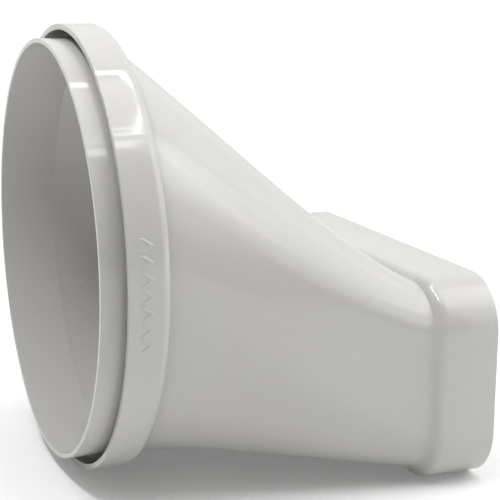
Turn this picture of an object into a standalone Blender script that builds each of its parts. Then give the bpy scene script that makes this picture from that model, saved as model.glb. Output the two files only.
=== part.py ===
"""Round-to-rectangular duct adapter, modelled in metres with +Z up.

The duct axis runs along +X, from the round mouth to the rectangular one. The adapter lies on the flat bottom of its
rectangular socket and on the lowest line of its round collar, which are level. The origin is on that resting plane,
under the centre of the bounding box.

Four mouldings are bonded together. The sleeve's tongue half-laps the hood's front lip, the collar's floor sits around
that lip, and the socket's shoulder sits around the hood's straight tail.
"""

import bpy
import bmesh
from math import cos, pi, radians, sin

MM = 0.001

# Driving dimensions, in millimetres. X counts from the rim of the round mouth, and Z from the round end's axis.
LENGTH = 142.0
AXIS_HEIGHT = 80.0
BOND_GAP = 0.3
WALL = 1.8
LAP = 0.8

SPIGOT_OUTER_R = 75.0
SPIGOT_WALL = 1.6
RIM_CHAMFER = 0.3

COLLAR_FRONT_X = 7.7
COLLAR_REAR_X = 22.4
COLLAR_OUTER_R = AXIS_HEIGHT
COLLAR_WALL = 1.9
COLLAR_FLOOR = 2.0
COLLAR_SHOULDER_R = 5.0

HOOD_OUTER_R = 75.3
LAP_FRONT_X = 16.8
TURN_START_X = 21.0
NECK_X = 119.4
TAIL_LENGTH = 4.2
NECK_HALF_WIDTH = 76.7
NECK_BOTTOM_Z = -76.8
NECK_TOP_Z = -8.5
NECK_CORNER_R = 18.5

SOCKET_HALF_WIDTH = 79.2
SOCKET_BOTTOM_Z = -AXIS_HEIGHT
SOCKET_TOP_Z = -5.7
SOCKET_CORNER_R = 19.0
SOCKET_SHOULDER = 2.0
SOCKET_SHOULDER_R = 1.8

# How the hood's rings turn from circle to rectangle. The angles, in degrees, say where on the circle the flats of the
# rectangle begin and end, for the near half: 90 is the top, 180 the side and 270 the bottom.
TOP_FLAT_END = 112.0
SIDE_FLAT_START = 156.0
SIDE_FLAT_END = 180.0
BOTTOM_FLAT_START = 232.0
BLEND_START_RATE = 0.9
BLEND_END_RATE = 0.6

RING_SEGMENTS = 72
ARC_STEPS = 8
FLAT_STEPS = 4
HOOD_STATIONS = 12
SHOULDER_STEPS = 4

GLOSSY_WHITE = (0.84, 0.84, 0.82, 1.0)


def clear_scene():
    for old in list(bpy.data.objects):
        bpy.data.objects.remove(old, do_unlink=True)


def plastic(name, roughness):
    """One sub-part's moulded ABS."""
    material = bpy.data.materials.new(name)
    material.use_nodes = True
    shader = material.node_tree.nodes["Principled BSDF"]
    shader.inputs["Base Color"].default_value = GLOSSY_WHITE
    shader.inputs["Roughness"].default_value = roughness
    shader.inputs["Metallic"].default_value = 0.0
    return material


def to_world(point):
    """From millimetres counted from the rim and the axis, to metres from the origin."""
    x, y, z = point
    return ((x - LENGTH / 2) * MM, y * MM, (z + AXIS_HEIGHT) * MM)


def tube_object(name, rings, roughness):
    """A closed solid from rings of equally many points, where the last ring joins the first."""
    mesh_data = bmesh.new()
    loops = [[mesh_data.verts.new(to_world(point)) for point in ring] for ring in rings]
    for ring, following in zip(loops, loops[1:] + loops[:1]):
        for i in range(len(ring)):
            j = (i + 1) % len(ring)
            mesh_data.faces.new((ring[i], following[i], following[j], ring[j]))
    bmesh.ops.recalc_face_normals(mesh_data, faces=mesh_data.faces)
    mesh = bpy.data.meshes.new(name)
    mesh_data.to_mesh(mesh)
    mesh_data.free()
    mesh.materials.append(plastic(name, roughness))
    mesh.shade_smooth()
    mesh.set_sharp_from_angle(angle=radians(35))
    made = bpy.data.objects.new(name, mesh)
    bpy.context.scene.collection.objects.link(made)
    return made


def arc(centre, radius, start, end, steps):
    """Points on an arc, both ends included. Angles are in degrees, anticlockwise from the first axis."""
    points = []
    for i in range(steps + 1):
        angle = radians(start + (end - start) * i / steps)
        points.append((centre[0] + radius * cos(angle), centre[1] + radius * sin(angle)))
    return points


def circle_ring(x, radius):
    angles = [2 * pi * i / RING_SEGMENTS for i in range(RING_SEGMENTS)]
    return [(x, radius * cos(angle), radius * sin(angle)) for angle in angles]


def turned(name, profile, roughness):
    """A ring turned about the duct axis from its (x, radius) profile."""
    return tube_object(name, [circle_ring(x, radius) for x, radius in profile], roughness)


def spread(start, end, steps):
    """Values between start and end, both left out."""
    return [start + (end - start) * i / steps for i in range(1, steps)]


def half_outline(half_width, bottom, top, corner_r):
    """(y, z) points of a rounded rectangle's near half, and for each its angle on the hood's circle.

    It runs from the middle of the top, down the near side (-Y), to the middle of the bottom.
    """
    near = -(half_width - corner_r)
    upper = arc((near, top - corner_r), corner_r, 90, 180, ARC_STEPS)
    lower = arc((near, bottom + corner_r), corner_r, 180, 270, ARC_STEPS)
    outline = [(0.0, top)] + [(y, top) for y in spread(0.0, near, FLAT_STEPS)] + upper
    outline += [(-half_width, z) for z in spread(top - corner_r, bottom + corner_r, FLAT_STEPS)] + lower
    outline += [(y, bottom) for y in spread(near, 0.0, FLAT_STEPS)] + [(0.0, bottom)]

    angles = [90.0] + spread(90.0, TOP_FLAT_END, FLAT_STEPS)
    angles += [TOP_FLAT_END] + spread(TOP_FLAT_END, SIDE_FLAT_START, ARC_STEPS) + [SIDE_FLAT_START]
    angles += spread(SIDE_FLAT_START, SIDE_FLAT_END, FLAT_STEPS)
    angles += [SIDE_FLAT_END] + spread(SIDE_FLAT_END, BOTTOM_FLAT_START, ARC_STEPS) + [BOTTOM_FLAT_START]
    angles += spread(BOTTOM_FLAT_START, 270.0, FLAT_STEPS) + [270.0]
    return outline, angles


def both_halves(near_half):
    """Closes a ring by mirroring its near half to the far side (+Y)."""
    return near_half + [(x, -y, z) for x, y, z in reversed(near_half[1:-1])]


def rectangle_ring(x, half_width, bottom, top, corner_r):
    outline, _ = half_outline(half_width, bottom, top, corner_r)
    return both_halves([(x, y, z) for y, z in outline])


def neck_ring(x, inset):
    """The hood's rounded rectangle at the neck, moved inwards by inset."""
    return rectangle_ring(
        x, NECK_HALF_WIDTH - inset, NECK_BOTTOM_Z + inset, NECK_TOP_Z - inset, NECK_CORNER_R - inset
    )


def socket_ring(x, inset):
    """The socket's rounded rectangle, moved inwards by inset."""
    return rectangle_ring(
        x, SOCKET_HALF_WIDTH - inset, SOCKET_BOTTOM_Z + inset, SOCKET_TOP_Z - inset, SOCKET_CORNER_R - inset
    )


def hood_circle_ring(x, radius):
    """A circle whose points pair up with those of the neck's outline."""
    _, angles = half_outline(NECK_HALF_WIDTH, NECK_BOTTOM_Z, NECK_TOP_Z, NECK_CORNER_R)
    return both_halves([(x, radius * cos(radians(a)), radius * sin(radians(a))) for a in angles])


def blend_share(u):
    """How far the ring has turned from circle to rectangle, at the share u of the hood's length."""
    ease_in = (u**3 - 2 * u**2 + u) * BLEND_START_RATE
    ease_out = (u**3 - u**2) * BLEND_END_RATE
    return ease_in + ease_out + 3 * u**2 - 2 * u**3


def hood_skin(start_x, radius, inset):
    """Rings of one skin of the hood, from its round end to the neck."""
    rings = []
    for station in range(HOOD_STATIONS + 1):
        u = station / HOOD_STATIONS
        share = blend_share(u)
        x = start_x + (NECK_X - start_x) * u
        pairs = zip(hood_circle_ring(x, radius), neck_ring(x, inset))
        rings.append([(x, a[1] + (b[1] - a[1]) * share, a[2] + (b[2] - a[2]) * share) for a, b in pairs])
    return rings


def spigot_sleeve():
    bore = SPIGOT_OUTER_R - SPIGOT_WALL
    shoulder_x = LAP_FRONT_X - BOND_GAP
    tongue_end = COLLAR_REAR_X - 3 * BOND_GAP
    profile = [
        (0.0, bore + RIM_CHAMFER),
        (0.0, SPIGOT_OUTER_R - RIM_CHAMFER),
        (RIM_CHAMFER, SPIGOT_OUTER_R),
        (shoulder_x, SPIGOT_OUTER_R),
        (shoulder_x, bore + LAP),
        (tongue_end, bore + LAP),
        (tongue_end, bore),
        (RIM_CHAMFER, bore),
    ]
    return turned("spigot_sleeve", profile, 0.22)


def round_collar():
    inner_r = COLLAR_OUTER_R - COLLAR_WALL
    floor_front = COLLAR_REAR_X - COLLAR_FLOOR
    # The hood's lower corners have already begun to grow where they pass the collar's floor.
    hole_r = HOOD_OUTER_R + 2 * BOND_GAP
    shoulder_centre = (COLLAR_REAR_X - COLLAR_SHOULDER_R, COLLAR_OUTER_R - COLLAR_SHOULDER_R)
    shoulder = arc(shoulder_centre, COLLAR_SHOULDER_R, 90, 0, SHOULDER_STEPS)
    # Inside, the floor meets the wall in a fillet that keeps the shoulder about as thick as the wall.
    fillet_r = inner_r - hole_r - BOND_GAP
    fillet = arc((floor_front - fillet_r, inner_r - fillet_r), fillet_r, 0, 90, SHOULDER_STEPS)
    profile = [
        (COLLAR_FRONT_X, inner_r + RIM_CHAMFER),
        (COLLAR_FRONT_X, COLLAR_OUTER_R - RIM_CHAMFER),
        (COLLAR_FRONT_X + RIM_CHAMFER, COLLAR_OUTER_R),
        *shoulder[:-1],
        (COLLAR_REAR_X, hole_r),
        (floor_front, hole_r),
        *fillet,
        (COLLAR_FRONT_X + RIM_CHAMFER, inner_r),
    ]
    return turned("round_collar", profile, 0.2)


def transition_hood():
    bore = SPIGOT_OUTER_R - SPIGOT_WALL
    lip_bore = bore + LAP + BOND_GAP
    inner_start = COLLAR_REAR_X - 2 * BOND_GAP
    tail_end = NECK_X + TAIL_LENGTH
    rings = [hood_circle_ring(LAP_FRONT_X, lip_bore), hood_circle_ring(LAP_FRONT_X, HOOD_OUTER_R)]
    rings += hood_skin(TURN_START_X, HOOD_OUTER_R, 0.0)
    rings += [neck_ring(tail_end, 0.0), neck_ring(tail_end, WALL)]
    rings += reversed(hood_skin(inner_start, bore, WALL))
    rings += [hood_circle_ring(inner_start, lip_bore)]
    return tube_object("transition_hood", rings, 0.25)


def rectangular_socket():
    rear_corner = [
        (NECK_X + SOCKET_SHOULDER_R - SOCKET_SHOULDER_R * sin(radians(angle)),
         SOCKET_SHOULDER_R - SOCKET_SHOULDER_R * cos(radians(angle)))
        for angle in (90.0, 60.0, 30.0, 0.0)
    ]
    rings = [neck_ring(NECK_X + SOCKET_SHOULDER, -BOND_GAP), neck_ring(NECK_X, -BOND_GAP)]
    rings += [socket_ring(x, inset) for x, inset in rear_corner]
    rings += [
        socket_ring(LENGTH - RIM_CHAMFER, 0.0),
        socket_ring(LENGTH, RIM_CHAMFER),
        socket_ring(LENGTH, WALL - RIM_CHAMFER),
        socket_ring(LENGTH - RIM_CHAMFER, WALL),
        socket_ring(NECK_X + SOCKET_SHOULDER, WALL),
    ]
    return tube_object("rectangular_socket", rings, 0.22)


clear_scene()
spigot_sleeve()
round_collar()
transition_hood()
rectangular_socket()
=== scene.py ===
"""The looks of the round-to-rectangular duct adapter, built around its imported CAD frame.

Every moulding is rebuilt as a fine mesh with its real roundings, in the place that its CAD node holds. Lengths are in
metres. The duct axis runs along +X, from the round mouth to the rectangular one.
"""

from math import cos, pi, radians, sin, sqrt

import bmesh
import bpy
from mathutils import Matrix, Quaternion, Vector


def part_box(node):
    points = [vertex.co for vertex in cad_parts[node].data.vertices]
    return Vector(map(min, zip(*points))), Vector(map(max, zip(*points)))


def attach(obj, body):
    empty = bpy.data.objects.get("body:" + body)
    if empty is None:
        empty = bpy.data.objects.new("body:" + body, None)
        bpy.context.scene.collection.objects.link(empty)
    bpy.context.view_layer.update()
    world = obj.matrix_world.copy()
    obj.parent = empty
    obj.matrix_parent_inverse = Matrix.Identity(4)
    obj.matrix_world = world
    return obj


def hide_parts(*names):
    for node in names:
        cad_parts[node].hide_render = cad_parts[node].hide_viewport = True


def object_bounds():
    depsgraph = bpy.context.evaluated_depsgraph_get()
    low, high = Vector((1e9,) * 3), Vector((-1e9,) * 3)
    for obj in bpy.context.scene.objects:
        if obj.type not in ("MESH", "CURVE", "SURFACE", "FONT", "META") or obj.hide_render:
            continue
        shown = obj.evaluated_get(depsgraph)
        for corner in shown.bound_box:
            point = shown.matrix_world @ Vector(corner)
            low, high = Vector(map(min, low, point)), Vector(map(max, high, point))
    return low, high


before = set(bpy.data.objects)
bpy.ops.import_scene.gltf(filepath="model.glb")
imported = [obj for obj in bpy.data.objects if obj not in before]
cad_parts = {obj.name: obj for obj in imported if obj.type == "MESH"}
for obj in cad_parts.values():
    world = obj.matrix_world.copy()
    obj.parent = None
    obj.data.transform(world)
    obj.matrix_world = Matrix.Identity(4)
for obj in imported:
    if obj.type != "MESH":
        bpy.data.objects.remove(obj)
CAD_LOW, CAD_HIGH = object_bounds()

MM = 0.001

# Places from the frame.
SLEEVE_LOW, SLEEVE_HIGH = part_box("spigot_sleeve")
COLLAR_LOW, COLLAR_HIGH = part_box("round_collar")
HOOD_LOW, HOOD_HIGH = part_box("transition_hood")
SOCKET_LOW, SOCKET_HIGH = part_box("rectangular_socket")
AXIS_Z = (COLLAR_LOW.z + COLLAR_HIGH.z) / 2
SPIGOT_R = (SLEEVE_HIGH.y - SLEEVE_LOW.y) / 2
COLLAR_R = (COLLAR_HIGH.y - COLLAR_LOW.y) / 2
HOOD_R = HOOD_HIGH.z - AXIS_Z
NECK_X = SOCKET_LOW.x
COLLAR_REAR_X = COLLAR_HIGH.x

# Sizes that the frame's boxes don't give.
WALL = 1.8 * MM
SPIGOT_WALL = 1.6 * MM
COLLAR_WALL = 2.1 * MM
COLLAR_FLOOR = 2.0 * MM
SHOULDER_LENGTH = 3.6 * MM
SHOULDER_DEPTH = 4.6 * MM
SEAM = 0.02 * MM
LAP = 0.8 * MM
LAP_GAP = 0.3 * MM
LAP_END_X = COLLAR_REAR_X - 0.6 * MM
RIM_R = 0.35 * MM
EDGE_R = 0.25 * MM
TONGUE_EDGE_R = 0.05 * MM
NECK_TOP_DROP = 2.8 * MM
NECK_CORNER_R = 18.5 * MM
SOCKET_CORNER_R = 19.0 * MM
SOCKET_SHOULDER = 2.0 * MM
SHARP_ANGLE = 40.0

# The box of the hood's neck, across the duct.
NECK_LOW = Vector((0.0, HOOD_LOW.y, HOOD_LOW.z))
NECK_HIGH = Vector((0.0, HOOD_HIGH.y, SOCKET_HIGH.z - NECK_TOP_DROP))

# Where the hood begins to turn from circle to rectangle.
TURN_START_X = HOOD_LOW.x + 4.2 * MM

# The S-shaped step from the hood's neck up to the socket: the places along the axis of its start, bend, crest and end,
# on the sides and on the crisper top, the share of it that belongs to the hood, and the share of the neck's corner
# radius over which its form on the sides gives way to that on the top.
SIDE_STEP = (NECK_X - 3.5 * MM, NECK_X - 0.5 * MM, NECK_X - 0.9 * MM, NECK_X + 2.8 * MM)
TOP_STEP = (NECK_X - 0.9 * MM, NECK_X - 0.6 * MM, NECK_X + 0.3 * MM, NECK_X + 3.3 * MM)
STEP_SEAM = 0.45
STEP_TOP_SHARE = 0.7

# The raised chevrons on the collar, which point along the flow, and half the angle of the finely cut arc that holds
# them.
CHEVRONS = 7
CHEVRON_PITCH = 5.4 * MM
CHEVRON_HALF_HEIGHT = 2.2 * MM
CHEVRON_DEPTH = 8.0 * MM
CHEVRON_TIP_X = COLLAR_REAR_X - 7.0 * MM
CHEVRON_STROKE = 0.9 * MM
CHEVRON_RELIEF = 0.2 * MM
CHEVRON_FLANK = 0.3 * MM
MARK_HALF_ANGLE = 14.0

# How the hood's rings turn from circle to rectangle, as in the CAD.
TOP_FLAT_END = 112.0
SIDE_FLAT_START = 156.0
SIDE_FLAT_END = 180.0
BOTTOM_FLAT_START = 232.0
BLEND_START_RATE = 0.9
BLEND_END_RATE = 0.6

# How finely the meshes are cut.
TURNED_SEGMENTS = 320
ARC_STEPS = 28
FLAT_STEPS = 18
HOOD_STATIONS = 64
ROUNDING_STEPS = 6
LAND_STEPS = 64
SHOULDER_STEPS = 20
STEP_STEPS = 10
MARK_STEPS = 300

# The plastic's colours.
WARM_WHITE = (0.476, 0.468, 0.449)
COOL_WHITE = (0.488, 0.482, 0.466)
PALE_WHITE = (0.502, 0.495, 0.478)
FLOW_WHITE = (0.466, 0.460, 0.443)
SCUFF_GREY = (0.55, 0.54, 0.525)
SPECK_GREY = (0.22, 0.21, 0.19)
MARK_WHITE = (0.57, 0.56, 0.55)

# The small moulding mark inside the mouth, how deep the surface's slight waviness goes, and how far the scuffs reach
# from a rim.
GATE_MARK = (-39.5 * MM, 68.9 * MM, 49.8 * MM)
MARK_RADIUS = 1.0 * MM
RELIEF_DEPTH = 0.025 * MM
SCUFF_REACH = 1.6 * MM

# The scales of the plastic's patterns, in waves per metre, those of the stretched ones for each axis.
CLOUD_SCALE = 16.0
MOTTLE_SCALE = 300.0
SMEAR_SCALE = 34.0
SCUFF_SCALE = 420.0
SPECK_SCALE = 95.0
WAVE_SCALE = 85.0
GRAIN_SCALE = 750.0
SHEEN_SCALE = 22.0
AROUND = (1500.0, 14.0, 14.0)
ALONG = (18.0, 420.0, 420.0)
SCRATCH_SCALE = (60.0, 900.0, 120.0)

# The range that most of a noise's values lie in, the upper parts of it that make smears, scratches and scuffs, how much
# of a cell a speck fills, and which cells have one.
NOISE_SPAN = (0.3, 0.7)
SMEAR_SPAN = (0.5, 0.72)
SCRATCH_SPAN = (0.74, 0.8)
SCUFF_SPAN = (0.45, 0.65)
SPECK_EDGE = (0.035, 0.015)
SPECK_CHOICE = (0.93, 0.94)

# How strongly each pattern shows in the colour, in the relief and in the roughness.
IN_COLOUR = {"mottle": 0.35, "flow": 0.25, "scuff": 0.15, "specks": 0.5, "dot": 0.6}
IN_RELIEF = {"grain": 0.05, "flow": 0.04, "scratches": -0.02, "specks": -0.3, "dot": 6.0}
IN_ROUGHNESS = {"sheen": 0.02, "flow": 0.04, "smears": 0.035, "scuff": 0.05, "scratches": 0.04}

# The camera, in the frame's metres and in degrees.
CAMERA_PLACE = Vector((-0.1790, -0.4647, 0.1826))
CAMERA_TURN = 22.03
CAMERA_DIP = 12.23
CAMERA_ROLL = 0.55
CAMERA_LENS = 96.5
CAMERA_CLIP = (0.01, 50.0)

# The floor, and how far behind the object its own glow goes from its near to its far strength.
FLOOR_REACH = 12.0
FLOOR_GREY = (0.75, 0.75, 0.75, 1.0)
FLOOR_ROUGHNESS = 0.9
FLOOR_DROP = 0.05 * MM
GLOW_SPAN = (0.0, 0.5)
LAMP_WHITE = (1.0, 1.0, 1.0, 1.0)

# The light tent, turned with the camera. A span is where one of its parts fades in, in the direction cosines of the
# view or in their ratios: right, back and height are the cosines, sideways and overhead are right and back over
# height, and across and along are right and back over the level part. No divisor is smaller than LEAST.
TENT_TURN = 22.0
LEAST = 0.01
CEILING_FRONT, CEILING_BACK, CEILING_RISE = (-0.52, -0.38), (0.36, 0.26), (0.4, 0.7)
CORNER_SLOPE = (0.85, 1.2)
CORNER_EDGE, CORNER_SIDE = (-0.03, 0.03), (0.4, 0.5)
CORNER_FRONT, CORNER_BACK = (-0.6, -0.5), (0.6, 0.5)
CORNER_SEAM = (0.06, 0.12)
LEFT_WALL, RIGHT_WALL, BACK_WALL = (-0.45, -0.9), (0.5, 0.9), (0.45, 0.9)
WALL_RISE, RIGHT_WALL_RISE = (0.15, 0.4), (0.08, 0.26)
RIGHT_WALL_FRONT = (-0.72, -0.62)

# The frame of lamps above the object, and the two panels beside it. A front strip is a place and a width.
FRAME_X = -0.09
FRAME_HEIGHT = 0.70
FRAME_TURN = 2.2
FRONT_STRIPS = ((-0.266, 0.012), (-0.307, 0.016), (-0.378, 0.055))
PANEL_HEIGHT = 0.25


def smooth(value):
    """Goes smoothly from 0 to 1 while the value does."""
    share = min(max(value, 0.0), 1.0)
    return share**2 * (3 - 2 * share)


def bezier(a, b, c, t):
    return a * (1 - t) ** 2 + b * 2 * t * (1 - t) + c * t**2


def arc(centre, radius, start, end, steps):
    """Points on an arc, both ends included. Angles are in degrees."""
    points = []
    for i in range(steps + 1):
        angle = radians(start + (end - start) * i / steps)
        points.append((centre[0] + radius * cos(angle), centre[1] + radius * sin(angle)))
    return points


def spread(start, end, steps):
    """Values between start and end, both left out."""
    return [start + (end - start) * i / steps for i in range(1, steps)]


def rounded(corners):
    """A closed profile with each (x, r, rounding) corner replaced by a small curve, or kept where rounding is 0."""
    points = []
    count = len(corners)
    for i, (x, r, rounding) in enumerate(corners):
        here = Vector((x, r))
        before = Vector(corners[i - 1][:2])
        after = Vector(corners[(i + 1) % count][:2])
        if rounding == 0:
            points.append((x, r))
            continue
        start = here + (before - here).normalized() * rounding
        end = here + (after - here).normalized() * rounding
        for step in range(ROUNDING_STEPS + 1):
            point = bezier(start, here, end, step / ROUNDING_STEPS)
            points.append((point.x, point.y))
    return points


def tube_piece(name, node, rings, material):
    """A closed smooth solid from rings of equally many points, standing for one CAD node."""
    mesh_data = bmesh.new()
    loops = [[mesh_data.verts.new(point) for point in ring] for ring in rings]
    for ring, following in zip(loops, loops[1:] + loops[:1]):
        for i in range(len(ring)):
            j = (i + 1) % len(ring)
            mesh_data.faces.new((ring[i], following[i], following[j], ring[j]))
    bmesh.ops.recalc_face_normals(mesh_data, faces=mesh_data.faces)
    mesh = bpy.data.meshes.new(name)
    mesh_data.to_mesh(mesh)
    mesh_data.free()
    mesh.materials.append(material)
    mesh.shade_smooth()
    mesh.set_sharp_from_angle(angle=radians(SHARP_ANGLE))
    piece = bpy.data.objects.new(name, mesh)
    bpy.context.scene.collection.objects.link(piece)
    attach(piece, "root")
    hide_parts(node)
    return piece


def circle_ring(x, radius, angles):
    """A ring about the duct axis. An angle is 90 at the top and 180 at the near side (-Y)."""
    return [(x, radius * cos(radians(a)), AXIS_Z + radius * sin(radians(a))) for a in angles]


def even_angles(count):
    return [360 * i / count for i in range(count)]


def half_outline(low, high, corner_r):
    """The near half of a rounded rectangle that fills a box, as (y, z) points from its top to its bottom."""
    near = low.y + corner_r
    upper = arc((near, high.z - corner_r), corner_r, 90, 180, ARC_STEPS)
    lower = arc((near, low.z + corner_r), corner_r, 180, 270, ARC_STEPS)
    outline = [(0.0, high.z)] + [(y, high.z) for y in spread(0.0, near, FLAT_STEPS)] + upper
    outline += [(low.y, z) for z in spread(high.z - corner_r, low.z + corner_r, FLAT_STEPS)] + lower
    outline += [(y, low.z) for y in spread(near, 0.0, FLAT_STEPS)] + [(0.0, low.z)]
    return outline


def half_angles():
    """For each point of a half outline, its angle on the circle that the hood starts from."""
    angles = [90.0] + spread(90.0, TOP_FLAT_END, FLAT_STEPS)
    angles += [TOP_FLAT_END] + spread(TOP_FLAT_END, SIDE_FLAT_START, ARC_STEPS) + [SIDE_FLAT_START]
    angles += spread(SIDE_FLAT_START, SIDE_FLAT_END, FLAT_STEPS)
    angles += [SIDE_FLAT_END] + spread(SIDE_FLAT_END, BOTTOM_FLAT_START, ARC_STEPS) + [BOTTOM_FLAT_START]
    angles += spread(BOTTOM_FLAT_START, 270.0, FLAT_STEPS) + [270.0]
    return angles


def both_halves(near_half):
    """Closes a ring by mirroring its near half to the far side (+Y)."""
    return near_half + [(x, -y, z) for x, y, z in reversed(near_half[1:-1])]


def rectangle_ring(x, low, high, corner_r, inset):
    """A rounded rectangle across the duct axis. It lies the inset inside the box, or outside if that is negative."""
    step = Vector((0.0, inset, inset))
    outline = half_outline(low + step, high - step, corner_r - inset)
    return both_halves([(x, y, z) for y, z in outline])


def neck_ring(x, inset):
    return rectangle_ring(x, NECK_LOW, NECK_HIGH, NECK_CORNER_R, inset)


def socket_ring(x, inset):
    return rectangle_ring(x, SOCKET_LOW, SOCKET_HIGH, SOCKET_CORNER_R, inset)


def hood_circle_ring(x, radius):
    return both_halves(circle_ring(x, radius, half_angles()))


def blend_share(u):
    """How far the ring has turned from circle to rectangle, at the share u of the hood's length."""
    ease_in = (u**3 - 2 * u**2 + u) * BLEND_START_RATE
    ease_out = (u**3 - u**2) * BLEND_END_RATE
    return ease_in + ease_out + 3 * u**2 - 2 * u**3


def hood_ring(x, start_x, radius, inset):
    """A ring of the hood's skin that is a circle at start_x and the neck's rectangle at the neck."""
    share = blend_share((x - start_x) / (NECK_X - start_x))
    pairs = zip(hood_circle_ring(x, radius), neck_ring(x, inset))
    return [(x, a[1] + (b[1] - a[1]) * share, a[2] + (b[2] - a[2]) * share) for a, b in pairs]


# Pieces

def spigot_sleeve(material):
    bore = SPIGOT_R - SPIGOT_WALL
    shoulder_x = HOOD_LOW.x - SEAM
    tongue_end = LAP_END_X - SEAM
    profile = rounded([
        (SLEEVE_LOW.x, SPIGOT_R, RIM_R),
        (shoulder_x, SPIGOT_R, EDGE_R),
        (shoulder_x, bore + LAP, 0),
        (tongue_end, bore + LAP, 0),
        (tongue_end, bore, TONGUE_EDGE_R),
        (SLEEVE_LOW.x, bore, RIM_R),
    ])
    angles = even_angles(TURNED_SEGMENTS)
    rings = [circle_ring(x, r, angles) for x, r in profile]
    return tube_piece("spigot_sleeve_fine", "spigot_sleeve", rings, material)


def chevron_relief(x, angle):
    """How far the collar's land stands proud at a place, given by its x and its angle in degrees."""
    around = radians(angle - 180.0) * COLLAR_R
    row = round(around / CHEVRON_PITCH)
    if abs(row) > (CHEVRONS - 1) / 2:
        return 0.0
    across = abs(around - row * CHEVRON_PITCH)
    slope = (CHEVRON_DEPTH - 2 * CHEVRON_STROKE) / 2 / CHEVRON_HALF_HEIGHT
    along = x - CHEVRON_TIP_X + across * slope
    from_stroke = CHEVRON_STROKE / 2 - abs(along) / sqrt(1 + slope**2)
    from_end = CHEVRON_HALF_HEIGHT - across
    return CHEVRON_RELIEF * smooth(min(from_stroke, from_end) / CHEVRON_FLANK + 0.5)


def round_collar(material):
    inner = COLLAR_R - COLLAR_WALL
    front, rear = COLLAR_LOW.x, COLLAR_REAR_X
    hole = HOOD_R - LAP_GAP
    floor_front = rear - COLLAR_FLOOR
    land_end = rear - SHOULDER_LENGTH
    fillet_r = inner - HOOD_R - 2 * LAP_GAP
    marked = [180.0 + MARK_HALF_ANGLE * (i / MARK_STEPS * 2 - 1) for i in range(MARK_STEPS)]
    plain_start = 180.0 + MARK_HALF_ANGLE
    plain_span = 360.0 - 2 * MARK_HALF_ANGLE
    angles = marked + [plain_start + plain_span * i / TURNED_SEGMENTS for i in range(TURNED_SEGMENTS)]

    # The rim's two roundings, without the point that only gives the second one its direction.
    rim = rounded([(front, inner, RIM_R), (front, COLLAR_R, RIM_R), (land_end, COLLAR_R, 0)])[:-1]
    rings = [circle_ring(x, r, angles) for x, r in rim]
    for x in spread(front + RIM_R, land_end, LAND_STEPS):
        rings.append([circle_ring(x, COLLAR_R + chevron_relief(x, angle), [angle])[0] for angle in angles])
    back = []
    for step in range(SHOULDER_STEPS + 1):
        angle = radians(90 * step / SHOULDER_STEPS)
        back.append((land_end + SHOULDER_LENGTH * sin(angle), COLLAR_R - SHOULDER_DEPTH * (1 - cos(angle))))
    back += [(rear, hole), (floor_front, hole)]
    back += arc((floor_front - fillet_r, inner - fillet_r), fillet_r, 0, 90, ROUNDING_STEPS * 2)
    rings += [circle_ring(x, r, angles) for x, r in back]
    return tube_piece("round_collar_fine", "round_collar", rings, material)


def outer_hood_ring(x):
    return hood_ring(x, TURN_START_X, HOOD_R, 0.0)


def outer_socket_ring(x):
    return socket_ring(x, 0.0)


def step_controls(side_and_top, skin):
    """A ring of the step's control points. The places along the axis are for the sides and for the top, and each
    point lies between them by its height."""
    side, top = (skin(x) for x in side_and_top)
    corner_low = NECK_HIGH.z - NECK_CORNER_R
    ring = []
    for a, b in zip(side, top):
        share = smooth((a[2] - corner_low) / (STEP_TOP_SHARE * NECK_CORNER_R))
        ring.append([p + (q - p) * share for p, q in zip(a, b)])
    return ring


def step_rings(first, last):
    """Rings on the S-shaped step, from the share first to the share last of its way from hood to socket."""
    skins = (outer_hood_ring, outer_hood_ring, outer_socket_ring, outer_socket_ring)
    controls = [step_controls(places, skin) for places, skin in zip(zip(SIDE_STEP, TOP_STEP), skins)]
    rings = []
    for i in range(STEP_STEPS + 1):
        t = first + (last - first) * i / STEP_STEPS
        shares = ((1 - t) ** 3, 3 * t * (1 - t) ** 2, 3 * t**2 * (1 - t), t**3)
        rings.append([
            tuple(sum(share * point[axis] for share, point in zip(shares, points)) for axis in range(3))
            for points in zip(*controls)
        ])
    return rings


def transition_hood(material):
    bore = SPIGOT_R - SPIGOT_WALL
    lip_bore = bore + LAP + LAP_GAP
    tail_end = HOOD_HIGH.x
    rings = [hood_circle_ring(HOOD_LOW.x, lip_bore), hood_circle_ring(HOOD_LOW.x, HOOD_R)]
    for station in range(HOOD_STATIONS):
        x = TURN_START_X + (SIDE_STEP[0] - TURN_START_X) * station / HOOD_STATIONS
        rings.append(outer_hood_ring(x))
    rings += step_rings(0.0, STEP_SEAM)
    rings += [neck_ring(NECK_X, 0.0), neck_ring(tail_end - EDGE_R, 0.0), neck_ring(tail_end, EDGE_R)]
    rings += [neck_ring(tail_end, WALL - EDGE_R), neck_ring(tail_end - EDGE_R, WALL)]
    for station in range(HOOD_STATIONS, -1, -1):
        x = LAP_END_X + (NECK_X - LAP_END_X) * station / HOOD_STATIONS
        rings.append(hood_ring(x, LAP_END_X, bore, WALL))
    rings.append(hood_circle_ring(LAP_END_X, lip_bore))
    return tube_piece("transition_hood_fine", "transition_hood", rings, material)


def rectangular_socket(material):
    end = SOCKET_HIGH.x
    inner_x = NECK_X + SOCKET_SHOULDER
    rings = [neck_ring(inner_x, -SEAM), neck_ring(NECK_X, -SEAM)] + step_rings(STEP_SEAM, 1.0)
    quarter = [radians(90 * step / ROUNDING_STEPS) for step in range(ROUNDING_STEPS + 1)]
    for a in quarter:
        rings.append(socket_ring(end - RIM_R * (1 - sin(a)), RIM_R * (1 - cos(a))))
    for a in quarter:
        rings.append(socket_ring(end - RIM_R * (1 - cos(a)), WALL - RIM_R * (1 - sin(a))))
    rings += [socket_ring(inner_x + EDGE_R, WALL), socket_ring(inner_x, WALL + EDGE_R)]
    return tube_piece("rectangular_socket_fine", "rectangular_socket", rings, material)


# Materials

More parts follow.
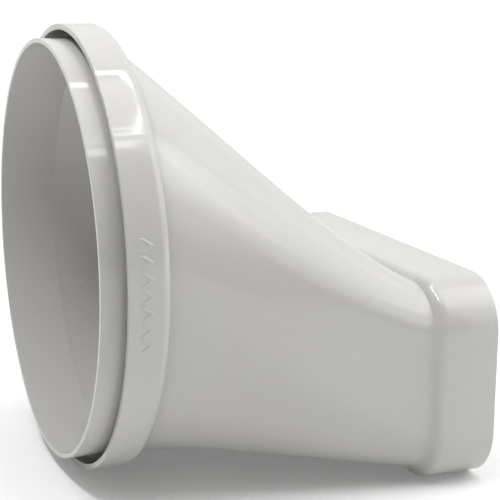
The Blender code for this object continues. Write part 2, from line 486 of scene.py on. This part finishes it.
def feed(tree, socket, value):
    """Sets a socket to a number, or links another socket to it."""
    if isinstance(value, (int, float)):
        socket.default_value = value
    else:
        tree.links.new(value, socket)


def math(tree, operation, first, second=0.0):
    node = tree.nodes.new("ShaderNodeMath")
    node.operation = operation
    feed(tree, node.inputs[0], first)
    feed(tree, node.inputs[1], second)
    return node.outputs[0]


def product(tree, first, *others):
    for other in others:
        first = math(tree, "MULTIPLY", first, other)
    return first


def total(tree, first, *others):
    for other in others:
        first = math(tree, "ADD", first, other)
    return first


def ramp(tree, value, span, low=0.0, high=1.0):
    """Goes smoothly from low to high while the value goes from one end of the span to the other."""
    node = tree.nodes.new("ShaderNodeMapRange")
    node.interpolation_type = "SMOOTHSTEP"
    feed(tree, node.inputs["Value"], value)
    for name, number in zip(("From Min", "From Max", "To Min", "To Max"), (*span, low, high)):
        node.inputs[name].default_value = number
    return node.outputs[0]


def noise(tree, place, scale, detail):
    node = tree.nodes.new("ShaderNodeTexNoise")
    node.inputs["Scale"].default_value = scale
    node.inputs["Detail"].default_value = detail
    tree.links.new(place, node.inputs["Vector"])
    return node.outputs["Fac"]


def stretched(tree, place, scale):
    node = tree.nodes.new("ShaderNodeMapping")
    node.inputs["Scale"].default_value = scale
    tree.links.new(place, node.inputs["Vector"])
    return node.outputs[0]


def blended(tree, share, first, second):
    node = tree.nodes.new("ShaderNodeMix")
    node.data_type = "RGBA"
    tree.links.new(share, node.inputs["Factor"])
    for socket, colour in zip((node.inputs[6], node.inputs[7]), (first, second)):
        if isinstance(colour, tuple):
            socket.default_value = (*colour, 1.0)
        else:
            tree.links.new(colour, socket)
    return node.outputs[2]


def spot(tree, place, centre, radius):
    """A dot with a soft edge."""
    node = tree.nodes.new("ShaderNodeVectorMath")
    node.operation = "DISTANCE"
    tree.links.new(place, node.inputs[0])
    node.inputs[1].default_value = centre
    return ramp(tree, node.outputs["Value"], (radius, 0.4 * radius))


def moulded_plastic(name, roughness, streaks, rims, mark=None):
    """Glossy white ABS. Streaks are the scales of its flow lines, stretched along the duct or around it, rims the
    places along the axis where handling has scuffed it, and mark the place of a small moulding mark."""
    material = bpy.data.materials.new(name)
    material.use_nodes = True
    tree = material.node_tree
    shader = tree.nodes["Principled BSDF"]
    place = tree.nodes.new("ShaderNodeTexCoord").outputs["Object"]
    split = tree.nodes.new("ShaderNodeSeparateXYZ")
    tree.links.new(place, split.inputs[0])

    clouds = ramp(tree, noise(tree, place, CLOUD_SCALE, 2.0), NOISE_SPAN)
    mottle = noise(tree, place, MOTTLE_SCALE, 3.0)
    flow = noise(tree, stretched(tree, place, streaks), 1.0, 3.0)
    smears = ramp(tree, noise(tree, place, SMEAR_SCALE, 5.0), SMEAR_SPAN)
    scratches = ramp(tree, noise(tree, stretched(tree, place, SCRATCH_SCALE), 1.0, 0.0), SCRATCH_SPAN)

    scuff = 0.0
    for rim in rims:
        from_rim = math(tree, "ABSOLUTE", math(tree, "SUBTRACT", split.outputs["X"], rim))
        scuff = total(tree, ramp(tree, from_rim, (SCUFF_REACH, 0.0)), scuff)
    scuff = product(tree, scuff, ramp(tree, noise(tree, place, SCUFF_SCALE, 4.0), SCUFF_SPAN))

    cells = tree.nodes.new("ShaderNodeTexVoronoi")
    cells.inputs["Scale"].default_value = SPECK_SCALE
    tree.links.new(place, cells.inputs["Vector"])
    chosen = tree.nodes.new("ShaderNodeSeparateColor")
    tree.links.new(cells.outputs["Color"], chosen.inputs[0])
    specks = ramp(tree, cells.outputs["Distance"], SPECK_EDGE)
    specks = product(tree, specks, ramp(tree, chosen.outputs[0], SPECK_CHOICE))

    colour = blended(tree, clouds, WARM_WHITE, COOL_WHITE)
    colour = blended(tree, ramp(tree, mottle, NOISE_SPAN, 0.0, IN_COLOUR["mottle"]), colour, PALE_WHITE)
    colour = blended(tree, product(tree, flow, IN_COLOUR["flow"]), colour, FLOW_WHITE)
    colour = blended(tree, product(tree, scuff, IN_COLOUR["scuff"]), colour, SCUFF_GREY)
    colour = blended(tree, product(tree, specks, IN_COLOUR["specks"]), colour, SPECK_GREY)
    relief = total(
        tree,
        noise(tree, place, WAVE_SCALE, 1.0),
        product(tree, noise(tree, place, GRAIN_SCALE, 2.0), IN_RELIEF["grain"]),
        product(tree, flow, IN_RELIEF["flow"]),
        product(tree, scratches, IN_RELIEF["scratches"]),
        product(tree, specks, IN_RELIEF["specks"]),
    )
    if mark:
        dot = spot(tree, place, mark, MARK_RADIUS)
        colour = blended(tree, product(tree, dot, IN_COLOUR["dot"]), colour, MARK_WHITE)
        relief = total(tree, relief, product(tree, dot, IN_RELIEF["dot"]))
    tree.links.new(colour, shader.inputs["Base Color"])

    least, most = roughness - IN_ROUGHNESS["sheen"], roughness + IN_ROUGHNESS["sheen"]
    gloss = total(
        tree,
        ramp(tree, noise(tree, place, SHEEN_SCALE, 3.0), NOISE_SPAN, least, most),
        product(tree, math(tree, "SUBTRACT", flow, 0.5), IN_ROUGHNESS["flow"]),
        product(tree, smears, IN_ROUGHNESS["smears"]),
        product(tree, scuff, IN_ROUGHNESS["scuff"]),
        product(tree, scratches, IN_ROUGHNESS["scratches"]),
    )
    tree.links.new(gloss, shader.inputs["Roughness"])

    bump = tree.nodes.new("ShaderNodeBump")
    bump.inputs["Strength"].default_value = 1.0
    bump.inputs["Distance"].default_value = RELIEF_DEPTH
    tree.links.new(relief, bump.inputs["Height"])
    tree.links.new(bump.outputs[0], shader.inputs["Normal"])
    return material


# Stage, light and camera

def stage_floor(near_glow, far_glow):
    """A pale floor, lit a little from within, and more behind the object."""
    mesh = bpy.data.meshes.new("studio_floor")
    corners = [(x * FLOOR_REACH, y * FLOOR_REACH, 0) for x, y in ((-1, -1), (1, -1), (1, 1), (-1, 1))]
    mesh.from_pydata(corners, [], [(0, 1, 2, 3)])
    material = bpy.data.materials.new("studio_floor")
    material.use_nodes = True
    tree = material.node_tree
    shader = tree.nodes["Principled BSDF"]
    shader.inputs["Base Color"].default_value = FLOOR_GREY
    shader.inputs["Roughness"].default_value = FLOOR_ROUGHNESS
    shader.inputs["Specular IOR Level"].default_value = 0.0
    shader.inputs["Emission Color"].default_value = LAMP_WHITE
    behind = tree.nodes.new("ShaderNodeVectorMath")
    behind.operation = "DOT_PRODUCT"
    tree.links.new(tree.nodes.new("ShaderNodeTexCoord").outputs["Object"], behind.inputs[0])
    behind.inputs[1].default_value = (sin(radians(TENT_TURN)), cos(radians(TENT_TURN)), 0.0)
    glow = ramp(tree, behind.outputs["Value"], GLOW_SPAN, near_glow, far_glow)
    tree.links.new(glow, shader.inputs["Emission Strength"])
    mesh.materials.append(material)
    floor = bpy.data.objects.new("studio_floor", mesh)
    floor.location.z = CAD_LOW.z - FLOOR_DROP
    bpy.context.scene.collection.objects.link(floor)


def studio_light(ceiling, seam, shelf, left_low, left_high, right_high, back_low, back_high):
    """A light tent around the object, open at its front: the strengths of its ceiling, of the seam and the shelf that
    follow each other in the corner between ceiling and right wall, and of its walls, near the floor and above. The
    right wall has no light near the floor."""
    world = bpy.data.worlds.new("light_tent")
    bpy.context.scene.world = world
    world.use_nodes = True
    tree = world.node_tree
    place = tree.nodes.new("ShaderNodeTexCoord")
    turn = tree.nodes.new("ShaderNodeVectorRotate")
    turn.rotation_type = "Z_AXIS"
    turn.inputs["Angle"].default_value = radians(TENT_TURN)
    tree.links.new(place.outputs["Generated"], turn.inputs["Vector"])
    split = tree.nodes.new("ShaderNodeSeparateXYZ")
    tree.links.new(turn.outputs[0], split.inputs[0])
    right, back, height = split.outputs
    above = math(tree, "MAXIMUM", height, LEAST)
    level = math(tree, "SUBTRACT", 1.0, product(tree, height, height))
    level = math(tree, "SQRT", math(tree, "MAXIMUM", level, LEAST**2))
    across, along = math(tree, "DIVIDE", right, level), math(tree, "DIVIDE", back, level)
    sideways, overhead = math(tree, "DIVIDE", right, above), math(tree, "DIVIDE", back, above)

    panel = product(
        tree,
        ramp(tree, overhead, CEILING_FRONT),
        ramp(tree, overhead, CEILING_BACK),
        ramp(tree, height, CEILING_RISE),
    )
    slope_right, slope_back = CORNER_SLOPE
    edge = total(tree, product(tree, right, slope_right), product(tree, back, slope_back))
    edge = math(tree, "SUBTRACT", height, edge)
    corner = product(
        tree,
        ramp(tree, edge, CORNER_EDGE),
        ramp(tree, sideways, CORNER_SIDE),
        ramp(tree, overhead, CORNER_FRONT),
        ramp(tree, overhead, CORNER_BACK),
        ramp(tree, edge, CORNER_SEAM, seam, shelf),
    )
    front_end = ramp(tree, math(tree, "DIVIDE", back, math(tree, "MAXIMUM", right, LEAST)), RIGHT_WALL_FRONT)
    light = total(
        tree,
        product(tree, panel, ceiling),
        corner,
        product(tree, ramp(tree, across, LEFT_WALL), ramp(tree, height, WALL_RISE, left_low, left_high)),
        product(tree, ramp(tree, across, RIGHT_WALL), front_end, ramp(tree, height, RIGHT_WALL_RISE, 0.0, right_high)),
        product(tree, ramp(tree, along, BACK_WALL), ramp(tree, height, WALL_RISE, back_low, back_high)),
    )
    background = tree.nodes["Background"]
    background.inputs["Color"].default_value = LAMP_WHITE
    tree.links.new(light, background.inputs["Strength"])


def lamp(name, x, y, height, size, radiance, facing=None):
    """A rectangular lamp whose face has the given radiance. It hangs in the frame and faces down, or it stands
    level towards a bearing in degrees (0 is +Y, 90 is -X)."""
    light = bpy.data.lights.new(name, "AREA")
    light.shape = "RECTANGLE"
    light.size, light.size_y = size
    light.energy = radiance * size[0] * size[1] * pi
    fixture = bpy.data.objects.new(name, light)
    fixture.location = (x, y, height)
    if facing is None:
        fixture.rotation_euler = (0.0, 0.0, radians(FRAME_TURN))
    else:
        fixture.rotation_euler = (radians(90.0), 0.0, radians(facing))
    bpy.context.scene.collection.objects.link(fixture)


def camera():
    data = bpy.data.cameras.new("camera")
    data.lens = CAMERA_LENS
    data.clip_start, data.clip_end = CAMERA_CLIP
    shot = bpy.data.objects.new("camera", data)
    turn, dip = radians(CAMERA_TURN), radians(CAMERA_DIP)
    ahead = Vector((sin(turn) * cos(dip), cos(turn) * cos(dip), -sin(dip)))
    shot.location = CAMERA_PLACE
    shot.rotation_mode = "QUATERNION"
    roll = Quaternion((0.0, 0.0, 1.0), radians(CAMERA_ROLL))
    shot.rotation_quaternion = ahead.to_track_quat("-Z", "Y") @ roll
    bpy.context.scene.collection.objects.link(shot)
    bpy.context.scene.camera = shot


camera()
spigot_sleeve(moulded_plastic("sleeve_plastic", roughness=0.09, streaks=AROUND, rims=[SLEEVE_LOW.x]))
round_collar(moulded_plastic("collar_plastic", roughness=0.05, streaks=AROUND, rims=[COLLAR_LOW.x]))
transition_hood(moulded_plastic("hood_plastic", roughness=0.1, streaks=ALONG, rims=[], mark=GATE_MARK))
rectangular_socket(moulded_plastic("socket_plastic", roughness=0.13, streaks=ALONG, rims=[SOCKET_HIGH.x]))
stage_floor(near_glow=0.14, far_glow=0.32)
studio_light(
    ceiling=1.36, seam=1.6, shelf=0.35, left_low=0.5, left_high=0.0, right_high=1.1, back_low=0.8, back_high=0.9
)
lamp("strip_back", FRAME_X, 0.12, FRAME_HEIGHT, size=(0.42, 0.035), radiance=10.0)
lamp("strip_right", FRAME_X + 0.213, -0.08, FRAME_HEIGHT, size=(0.005, 0.44), radiance=13.0)
lamp("strip_left", FRAME_X - 0.21, -0.06, FRAME_HEIGHT, size=(0.03, 0.44), radiance=61.0)
for row, (y, width) in enumerate(FRONT_STRIPS):
    lamp("strip_front_%d" % row, FRAME_X + 0.008, y, FRAME_HEIGHT, size=(0.45, width), radiance=5.0)
lamp("panel_right", 0.29, -0.14, PANEL_HEIGHT, size=(0.4, 0.46), radiance=0.72, facing=68.0)
lamp("panel_left", -0.37, 0.15, PANEL_HEIGHT, size=(0.5, 0.5), radiance=0.05, facing=-112.0)
bpy.context.scene.view_settings.view_transform = "Standard"
